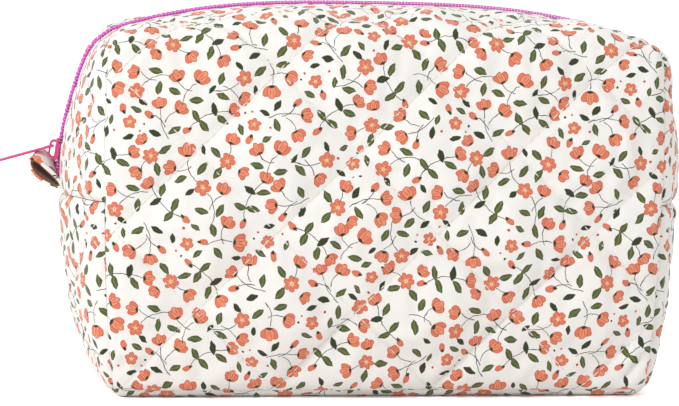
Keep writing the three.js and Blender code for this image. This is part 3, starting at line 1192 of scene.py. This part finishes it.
def lining_piece(name, us, vs, at, replaced, looks, seed, side=None):
    """Plain cotton just inside the wadding, slack between the seams that hold it."""
    panel = Panel(us, vs, at)
    high, low = LINING_DEPTHS
    edge = np.minimum.reduce(panel.edge_distances())
    slack = 0.9 * noise(panel.u, panel.v, 30, seed) + 0.5 * noise(panel.u, panel.v, 12, seed + 1)
    inward = panel.normal * (-(1 - np.exp(-edge / 8)) * (0.9 + slack))[..., None]
    low_side = panel.inner(low) + inward
    piece = thick_sheet(name, panel.inner(high), low_side, cloth_uv(panel), looks["lining"])
    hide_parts(*replaced)
    flat = (float(np.ptp(panel.cu)) * MM, float(np.ptp(panel.cv)) * MM)
    if side:
        open_with(piece)
    else:
        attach(piece, "root")


def linings(looks):
    step = 5.0
    length = lines(-HALF_LENGTH + SEAM_GAP, HALF_LENGTH - SEAM_GAP, step)
    depth = lines(-HALF_DEPTH + SEAM_GAP, HALF_DEPTH - SEAM_GAP, step)
    for side, way in HINGES.items():
        vs = np.concatenate([
            lines(SEAM_GAP, HEIGHT, step)[:-4],
            np.arange(HEIGHT - 3, HEIGHT + 12, 2.5),
            lines(HEIGHT + 14, HEIGHT + HALF_DEPTH - LINING_EDGE, step),
        ])
        lining_piece(f"{side}_lining_cloth", length * -way, vs, wall_place(way),
                     [f"{side}_lining", f"{side}_flap_lining"], looks, 700 + way, side)
        for end, end_way in ENDS.items():
            lining_piece(
                f"{end}_{side}_lining_cloth", way * lines(HALF_DEPTH - SEAM_GAP, LINING_EDGE, step),
                lines(END_SEAM + SEAM_GAP, HEIGHT - 0.1, step), end_place(end_way),
                [f"{end}_{side}_lining"], looks, 720 + way + 4 * end_way,
            )
    heights = lines(SEAM_GAP, END_SEAM - SEAM_GAP, step)
    for end, way in ENDS.items():
        lining_piece(f"{end}_end_lining_cloth", depth, heights, end_place(way),
                     [f"{end}_end_lining"], looks, 740 + way)
    lining_piece("base_lining_cloth", length, depth, base_place, ["base_lining"], looks, 760)


# ---------------------------------------------------------------- zip

def zip_place(run, offset, depth):
    """A point on the zip: run is the distance in mm past the left foot, as far as the right one."""
    climb = HEIGHT - ZIP_FOOT
    along = np.clip(run - climb, 0.0, 2 * HALF_LENGTH)
    z = np.where(run < climb, ZIP_FOOT + run, HEIGHT)
    z = np.where(run > climb + 2 * HALF_LENGTH, HEIGHT - (run - climb - 2 * HALF_LENGTH), z)
    return place(along - HALF_LENGTH, offset, z, depth)


RUN = 2 * (HEIGHT - ZIP_FOOT) + 2 * HALF_LENGTH


def even_runs(pitch):
    """Run values spaced evenly along the real length of the closed zip, a pitch apart."""
    fine = np.linspace(COIL_FOOT - ZIP_FOOT, RUN - (COIL_FOOT - ZIP_FOOT), 2400)
    path = zip_place(fine, 0.0, 0.0)
    length = np.concatenate([[0.0], np.cumsum(np.linalg.norm(np.diff(path, axis=0), axis=1))])
    count = int(length[-1] / pitch)
    return np.interp((np.arange(count) + 0.5) * pitch, length, fine)


def zip_frames(runs, offset, depth):
    """Centres and axes (along, across, out) at points of the zip."""
    step = 0.4
    centre = zip_place(runs, offset, depth)
    along = _unit(zip_place(runs + step, offset, depth) - zip_place(runs - step, offset, depth))
    across = np.zeros_like(along)
    across[:, 1] = 1.0
    out = _unit(np.cross(along, across))
    out *= np.sign(np.sum(out * (centre - np.array([0.0, 0.0, MID_HEIGHT])), axis=1))[:, None]
    return centre, along, across, out


def zip_tapes(looks):
    runs = np.linspace(0.0, RUN, 260)
    for side, way in HINGES.items():
        offsets = way * np.array([0.35, 0.6, 2.0, 4.0, 7.0, 10.0, 13.6, 14.0])
        grid_run, grid_offset = np.meshgrid(runs, offsets)
        outer = zip_place(grid_run, grid_offset, 1.2)
        inner = zip_place(grid_run, grid_offset, 1.75)
        length = _arc(outer[0], runs)
        uv = np.stack(np.broadcast_arrays(length[None, :], offsets[:, None]), axis=-1)
        piece = thick_sheet(f"{side}_zip_tape_cloth", outer, inner, uv.reshape(-1, 2), looks["tape"])
        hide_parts(f"{side}_flap_zip_tape", f"left_{side}_zip_tape", f"right_{side}_zip_tape")
        open_with(piece)


def zip_coils(looks):
    """Each tooth is a bent loop of nylon; the two rows mesh half a pitch apart."""
    runs = even_runs(TOOTH_PITCH)
    template, faces = capsule(1.0, 1.0, 1.0, 8, (0.0, 0.4, 0.5, 0.5, 0.5, 0.42, 0.0))
    shaped = np.array(template)[:, [1, 0, 2]] * TOOTH_SIZE
    for side, way in HINGES.items():
        shift = 0.0 if way < 0 else 0.5
        spaced = runs + shift * np.gradient(runs)
        centre, along, across, out = zip_frames(spaced[:-1], way * TOOTH_OFFSET, 0.0)
        piece = repeated(
            f"{side}_zip_teeth", shaped, faces, centre + out * ZIP_PROUD,
            [along, across, out], looks["coil"],
        )
        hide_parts(f"{side}_flap_zip_coil", f"left_{side}_zip_coil", f"right_{side}_zip_coil")
        open_with(piece)
        sew = even_runs(COIL_STITCH_PITCH)
        centre, along, across, out = zip_frames(sew, way * COIL_STITCH_OFFSET, 0.0)
        bead, bead_faces = capsule(2.0, 0.42, 0.42)
        row = repeated(
            f"{side}_coil_stitches", bead, bead_faces, centre + out * (ZIP_PROUD + COIL_STITCH_RISE),
            [along, across, out], looks["coil_thread"],
        )
        open_with(row)


# ---------------------------------------------------------------- slider, puller, stops

SLIDER_HEIGHT = 107.0
SLIDER_ANGLE = math.asin((SLIDER_HEIGHT - MID_HEIGHT) / ARC_RADIUS)
ARC_CENTRE = np.array([ARC_RADIUS - HALF_LENGTH - END_BULGE, 0.0, MID_HEIGHT])
PIN_OUT = 3.5
PIN_UP = 1.5
PULLER_DROOP = math.radians(16)


def slider_frame():
    """The slider's middle and its axes at rest: out of the bag, across the zip, up the zip."""
    out = np.array([-math.cos(SLIDER_ANGLE), 0.0, math.sin(SLIDER_ANGLE)])
    up = np.array([math.sin(SLIDER_ANGLE), 0.0, math.cos(SLIDER_ANGLE)])
    return ARC_CENTRE + out * ARC_RADIUS, out, np.array([0.0, -1.0, 0.0]), up


def prism(name, outline, low, high, origin, axes, material, bevel=0.25, holes=()):
    """An extruded outline with rounded edges: outline in the second and third axes."""
    curve = bpy.data.curves.new(name, "CURVE")
    curve.dimensions = "2D"
    curve.fill_mode = "BOTH"
    for ring in (outline, *holes):
        spline = curve.splines.new("POLY")
        spline.points.add(len(ring) - 1)
        for point, (a, b) in zip(spline.points, ring):
            point.co = (a * MM, b * MM, 0, 1)
        spline.use_cyclic_u = True
    half = (high - low) / 2
    curve.extrude = (half - bevel) * MM
    curve.bevel_depth = bevel * MM
    curve.bevel_resolution = 3
    curve.offset = -bevel * MM
    shape = linked(name, curve)
    bpy.context.view_layer.update()
    mesh = bpy.data.meshes.new_from_object(shape)
    bpy.data.objects.remove(shape)
    count = len(mesh.vertices)
    points = np.empty(count * 3)
    mesh.vertices.foreach_get("co", points)
    points = points.reshape(-1, 3) / MM
    faces = [tuple(p.vertices) for p in mesh.polygons]
    bpy.data.meshes.remove(mesh)
    out, across, up = axes
    placed = origin + (
        np.outer(points[:, 2] + (low + high) / 2, out)
        + np.outer(points[:, 0], across)
        + np.outer(points[:, 1], up)
    )
    piece = mesh_object(name, placed, faces, material)
    weld(piece)
    return piece


def weld(piece):
    """Joins doubled points and turns every face outward."""
    edit = bmesh.new()
    edit.from_mesh(piece.data)
    bmesh.ops.remove_doubles(edit, verts=edit.verts, dist=1e-6)
    bmesh.ops.recalc_face_normals(edit, faces=edit.faces)
    edit.to_mesh(piece.data)
    edit.free()


def rounded_outline(points, radius, steps=5):
    """A polygon with its corners rounded."""
    result = []
    count = len(points)
    for i in range(count):
        before, corner, after = (np.array(points[(i + k) % count], float) for k in (-1, 0, 1))
        a, b = before - corner, after - corner
        reach = min(radius, 0.45 * np.linalg.norm(a), 0.45 * np.linalg.norm(b))
        start = corner + a / np.linalg.norm(a) * reach
        end = corner + b / np.linalg.norm(b) * reach
        for t in np.linspace(0, 1, steps):
            result.append(tuple((1 - t) ** 2 * start + 2 * t * (1 - t) * corner + t**2 * end))
    return result


def joined(name, pieces):
    """One object from several meshes."""
    points, faces = [], []
    material = pieces[0].data.materials[0]
    for piece in pieces:
        offset = len(points)
        points += [tuple(v.co / MM) for v in piece.data.vertices]
        faces += [[offset + index for index in p.vertices] for p in piece.data.polygons]
        bpy.data.objects.remove(piece)
    return mesh_object(name, points, faces, material)


def slider(looks):
    centre, out, across, up = slider_frame()
    axes = (out, across, up)
    shield = rounded_outline(
        [(-3.1, -5.5), (3.1, -5.5), (4.0, 0.5), (4.2, 3.8), (1.2, 5.5), (0, 4.3), (-1.2, 5.5),
         (-4.2, 3.8), (-4.0, 0.5)], 1.0)
    metal = looks["enamel"]
    parts = [
        prism("slider_top", shield, 1.25, 2.4, centre, axes, metal, 0.3),
        prism("slider_under", shield, -3.2, -2.1, centre, axes, metal, 0.3),
        prism("slider_post", [(-0.3, 1.0), (0.3, 1.0), (0.3, 4.0), (-0.3, 4.0)], -2.2, 1.3, centre,
              axes, metal, 0.05),
    ]
    for way in (-1, 1):
        rail = rounded_outline([(way * 3.55, -4.6), (way * 4.05, 0.5), (way * 4.2, 3.2),
                                (way * 3.75, 3.2), (way * 3.55, 0.5), (way * 3.1, -4.6)], 0.2, 3)
        parts.append(prism("slider_rail", rail, 0.25, 1.4, centre, axes, metal, 0.12))
    body = joined("slider_enamel_body", parts)
    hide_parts("slider_body")
    side = [(2.2, -4.5), (4.3, -4.3), (5.2, -3.0), (5.3, 0.0), (5.2, 3.0), (4.3, 4.3), (2.2, 4.5),
            (2.2, 3.3), (3.7, 3.2), (4.25, 2.2), (4.3, 0.0), (4.25, -2.2), (3.7, -3.2), (2.2, -3.3)]
    arch = prism("slider_enamel_bridge", rounded_outline(side, 0.5), -0.8, 0.8, centre,
                 (across, out, up), metal, 0.22)
    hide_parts("slider_bridge")
    for piece in (body, arch):
        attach(piece, "slider")


def puller(looks):
    centre, out, across, up = slider_frame()
    pin = centre + out * PIN_OUT + up * PIN_UP
    along = np.array([-math.cos(PULLER_DROOP), 0.0, -math.sin(PULLER_DROOP)])
    thick = np.array([-math.sin(PULLER_DROOP), 0.0, math.cos(PULLER_DROOP)])
    outline = [(-2.5, -0.45), (2.5, -0.45), (2.75, 4.5), (2.4, 7.0), (3.2, 13.0), (3.3, 24.0),
               (2.2, 26.6), (0, 27.0), (-2.2, 26.6), (-3.3, 24.0), (-3.2, 13.0), (-2.4, 7.0),
               (-2.75, 4.5)]
    eye = [(-1.55, 0.5), (1.55, 0.5), (1.7, 4.1), (-1.7, 4.1)]
    tab = prism("puller_enamel_tab", rounded_outline(outline, 1.4, 7), -0.55, 0.55, pin,
                (thick, across, along), looks["enamel"], 0.28, [rounded_outline(eye[::-1], 0.5)])
    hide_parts("puller_tab")
    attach(tab, "puller")


def stops(looks):
    """Crimped staples at both ends of the coils."""
    for end, way in ENDS.items():
        centre = place(way * HALF_LENGTH, 0.0, STOP_HEIGHT, 0.0)
        axes = (np.array([way * 1.0, 0, 0]), np.array([0, 1.0, 0]), np.array([0, 0, 1.0]))
        outline = rounded_outline([(-3.2, -1.3), (3.2, -1.3), (3.2, 1.3), (-3.2, 1.3)], 0.7)
        staple = prism(f"{end}_enamel_stop", outline, -0.7, 1.0, centre, axes, looks["enamel"], 0.35)
        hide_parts(f"{end}_zip_stop")
        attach(staple, "root")


# ---------------------------------------------------------------- loop and bindings

LOOP_FOOT = np.array([-143.8, 89.8])
LOOP_RISE = math.radians(50)
LOOP_LENGTH = 20.0
LOOP_WIDTH = 7.8
LOOP_HALF_THICKNESS = 0.85
LOOP_TWIST = math.radians(-24)


def loop_outline(offset, turns):
    axis = np.array([-math.cos(LOOP_RISE), math.sin(LOOP_RISE)])
    side = np.array([axis[1], -axis[0]])
    along = (1 - np.cos(turns)) / 2
    reach = offset + along * (LOOP_LENGTH - 2 * offset)
    spread = (LOOP_WIDTH / 2 - offset) * np.sin(turns) * (0.6 + 0.5 * along)
    return LOOP_FOOT + np.outer(reach, axis) + np.outer(spread, side)


def twisted(points):
    """Turns the loop a little about its own length, more towards its tip."""
    foot = np.array([LOOP_FOOT[0], 0.0, LOOP_FOOT[1]])
    axis = np.array([-math.cos(LOOP_RISE), 0.0, math.sin(LOOP_RISE)])
    side = np.array([axis[2], 0.0, -axis[0]])
    local = points - foot
    along = local @ axis
    a, b = local @ side, local[..., 1]
    turn = LOOP_TWIST * smooth(along / LOOP_LENGTH * 1.4)
    c, s = np.cos(turn), np.sin(turn)
    return (
        foot + along[..., None] * axis + (a * c - b * s)[..., None] * side
        + (a * s + b * c)[..., None] * np.array([0.0, 1.0, 0.0])
    )


def side_loop(looks):
    """A folded ribbon, thicker at its turned edges, that springs out of the side seam."""
    turns = np.linspace(0, 2 * math.pi, 97)[:-1]
    across = np.array([-7.0, -6.8, -6.2, -5.4, -4.6, -3, -1.5, 0, 1.5, 3, 4.6, 5.4, 6.2, 6.8, 7.0])
    hem = 0.3 * np.exp(-(((np.abs(across) - 6.1) / 0.8) ** 2)) - 0.6 * (np.abs(across) > 6.9)
    wave = 0.35 * np.sin(turns * 2 + 0.8)[None, :] * (across / 7)[:, None]
    outer2 = loop_outline(0.0, turns)
    inner2 = loop_outline(2 * LOOP_HALF_THICKNESS, turns)
    mid = (outer2 + inner2) / 2
    half = _unit(outer2 - inner2) * LOOP_HALF_THICKNESS
    length = np.concatenate([[0], np.cumsum(np.linalg.norm(np.diff(mid, axis=0), axis=1))])
    def sheet(sign):
        lift = 1 + hem / LOOP_HALF_THICKNESS
        flat = mid[None] + sign * half[None] * lift[:, None, None] + wave[..., None] * half[None]
        y = np.broadcast_to(across[:, None], flat.shape[:2])
        return twisted(np.stack([flat[..., 0], y, flat[..., 1]], axis=-1))
    outer, inner = sheet(1), sheet(-1)
    rows, columns = outer.shape[:2]
    points = np.concatenate([outer.reshape(-1, 3), inner.reshape(-1, 3)])
    faces = []
    shift = rows * columns
    for i in range(rows - 1):
        for j in range(columns):
            k = (j + 1) % columns
            a, b, c, d = i * columns + j, i * columns + k, (i + 1) * columns + k, (i + 1) * columns + j
            faces.append((a, b, c, d))
            faces.append((d + shift, c + shift, b + shift, a + shift))
    for i in (0, rows - 1):
        for j in range(columns):
            k = (j + 1) % columns
            a, b = i * columns + j, i * columns + k
            faces.append((a, a + shift, b + shift, b) if i == 0 else (b, b + shift, a + shift, a))
    u = np.broadcast_to(length[None, :], (rows, columns))
    v = np.broadcast_to(across[:, None], (rows, columns))
    uv = np.stack([u + 31.0, v + 44.0], axis=-1).reshape(-1, 2)
    piece = mesh_object("side_loop_ribbon", points, faces, looks["print"], np.concatenate([uv, uv]))
    # The loop's inner faces get a plain brown cloth: painted shade standing for the shadow inside the
    # loop.
    piece.data.materials.append(looks["loop_painted_shade"])
    for index in range(1, 2 * (rows - 1) * columns, 2):
        piece.data.polygons[index].material_index = 1
    weld(piece)
    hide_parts("side_loop")
    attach(piece, "root")


def bindings(looks):
    """Cotton tape folded over the seam allowances inside the four upright corners."""
    heights = np.linspace(12, 148, 90)
    depth = np.array([4.95, 5.4, 6.2, 7.0, 7.8, 8.5, 8.9, 9.0])
    width = np.array([0.42, 0.5, 0.52, 0.5, 0.52, 0.5, 0.36, 0.12])
    z, d = np.meshgrid(heights, depth, indexing="ij")
    wave = 0.12 * noise(z, d, 6, 800)
    for side, way in HINGES.items():
        for end, end_way in ENDS.items():
            def face(sign):
                reach = (EDGE_RADIUS - d) * math.sqrt(0.5) - EDGE_RADIUS
                swing = sign * width[None, :] * math.sqrt(0.5) + wave
                return stuffed(np.stack([
                    end_way * (HALF_LENGTH + reach + swing), way * (HALF_DEPTH + reach - swing), z,
                ], axis=-1))
            uv = np.stack([z, d], axis=-1).reshape(-1, 2)
            piece = thick_sheet(f"{end}_{side}_binding_tape", face(1), face(-1), uv, looks["binding"])
            weld(piece)
            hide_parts(f"{end}_{side}_seam_binding")
            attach(piece, "root")


# ---------------------------------------------------------------- camera, light and floor

VIEW_AZIMUTH = math.radians(-8)
VIEW_ELEVATION = math.radians(5.3)
VIEW_ROLL = math.radians(1.15)
VIEW_DISTANCE = 1.2
VIEW_TARGET = Vector((-0.0137, 0.0, 0.0832))
LENS = 135.4


def camera():
    away = Vector((
        math.sin(VIEW_AZIMUTH) * math.cos(VIEW_ELEVATION),
        -math.cos(VIEW_AZIMUTH) * math.cos(VIEW_ELEVATION),
        math.sin(VIEW_ELEVATION),
    ))
    lens = bpy.data.cameras.new("camera")
    lens.lens = LENS
    lens.clip_start = 0.05
    eye = linked("camera", lens)
    eye.location = VIEW_TARGET + away * VIEW_DISTANCE
    turn = (-away).to_track_quat("-Z", "Y") @ Quaternion((0, 0, 1), VIEW_ROLL)
    eye.rotation_euler = turn.to_euler()
    bpy.context.scene.camera = eye


KEY_PLACE = Vector((-0.95, -1.0, 1.25))
KEY_TARGET = Vector((0, 0, 0.08))
KEY_SIZE = 0.4
KEY_POWER = 11


def key_lamp():
    light = bpy.data.lights.new("key", "AREA")
    light.shape = "DISK"
    light.size = KEY_SIZE
    light.energy = KEY_POWER
    holder = linked("key", light)
    holder.location = KEY_PLACE
    holder.rotation_euler = (KEY_TARGET - KEY_PLACE).to_track_quat("-Z", "Y").to_euler()


KEY_DIRECTION = Vector((-0.55, -0.35, 0.75)).normalized()
KEY_SKY = 0.7
SHADE_SKY = 0.53
BACK_SKY = 1.03


def studio():
    world = bpy.data.worlds.new("studio")
    world.use_nodes = True
    n = Nodes(world.node_tree)
    direction = n.vector("NORMALIZE", n.add("ShaderNodeTexCoord", (), None).outputs["Generated"])
    to_key = n.vector("DOT_PRODUCT", direction, tuple(KEY_DIRECTION), output="Value")
    front = n.ramp(to_key, -0.7, 1.0, SHADE_SKY, KEY_SKY)
    depth_axis = n.vector("DOT_PRODUCT", direction, (0, 1, 0), output="Value")
    behind = n.ramp(depth_axis, -0.1, 0.25, 0.0, 1.0)
    strength = n.add("ShaderNodeMix", {0: behind, 2: front, 3: BACK_SKY}, 0)
    n.put(world.node_tree.nodes["Background"], {"Color": (1, 1, 1, 1), "Strength": strength})
    bpy.context.scene.world = world
    key_lamp()
    floor = mesh_object(
        "floor", [(-3000, -3000, 0), (3000, -3000, 0), (3000, 3000, 0), (-3000, 3000, 0)],
        [(0, 1, 2, 3)],
    )
    material, n, shader = new_material("white_paper")
    grain = n.speckle(object_coordinates(n), 300.0, None)
    plain = n.mix(grain, (0.94, 0.93, 0.93, 1), (0.98, 0.97, 0.97, 1))
    bright = n.mix(grain, (2.0, 1.8, 1.82, 1), (2.1, 1.9, 1.92, 1))
    seen = n.add("ShaderNodeLightPath", (), None).outputs["Is Camera Ray"]
    looks = n.mix(seen, plain, bright)
    n.put(shader, {"Base Color": looks, "Roughness": 0.9, "Specular IOR Level": 0.1})
    floor.data.materials.append(material)
    bpy.context.scene.view_settings.view_transform = "Standard"


def materials():
    return {
        "print": printed_cotton("printed_cotton"),
        "lining": plain_cloth("lining_cotton", linear(240, 235, 224)),
        "binding": plain_cloth("binding_cotton", linear(236, 230, 218), 0.0008),
        # Brown painted shade for the loop's inner faces, standing for the shadow inside the loop.
        "loop_painted_shade": plain_cloth("loop_inside_painted_shade", linear(132, 84, 60)),
        "tape": plain_cloth("zip_tape_twill", linear(226, 110, 196), 0.0009, 0.6),
        "thread": thread_material("white_thread", linear(250, 247, 240)),
        "coil_thread": thread_material("pink_thread", linear(232, 110, 214)),
        "coil": nylon("pink_nylon", linear(240, 122, 226)),
        "enamel": enamel("pink_enamel", linear(215, 62, 132)),
    }


camera()
studio()
LOOKS = materials()
for SIDE in HINGES:
    WALL = long_side(SIDE, LOOKS)
    for END in ENDS:
        end_upper(END, SIDE, LOOKS, WALL)
for END in ENDS:
    end_lower(END, LOOKS)
base(LOOKS)
linings(LOOKS)
zip_tapes(LOOKS)
zip_coils(LOOKS)
slider(LOOKS)
puller(LOOKS)
stops(LOOKS)
side_loop(LOOKS)
bindings(LOOKS)
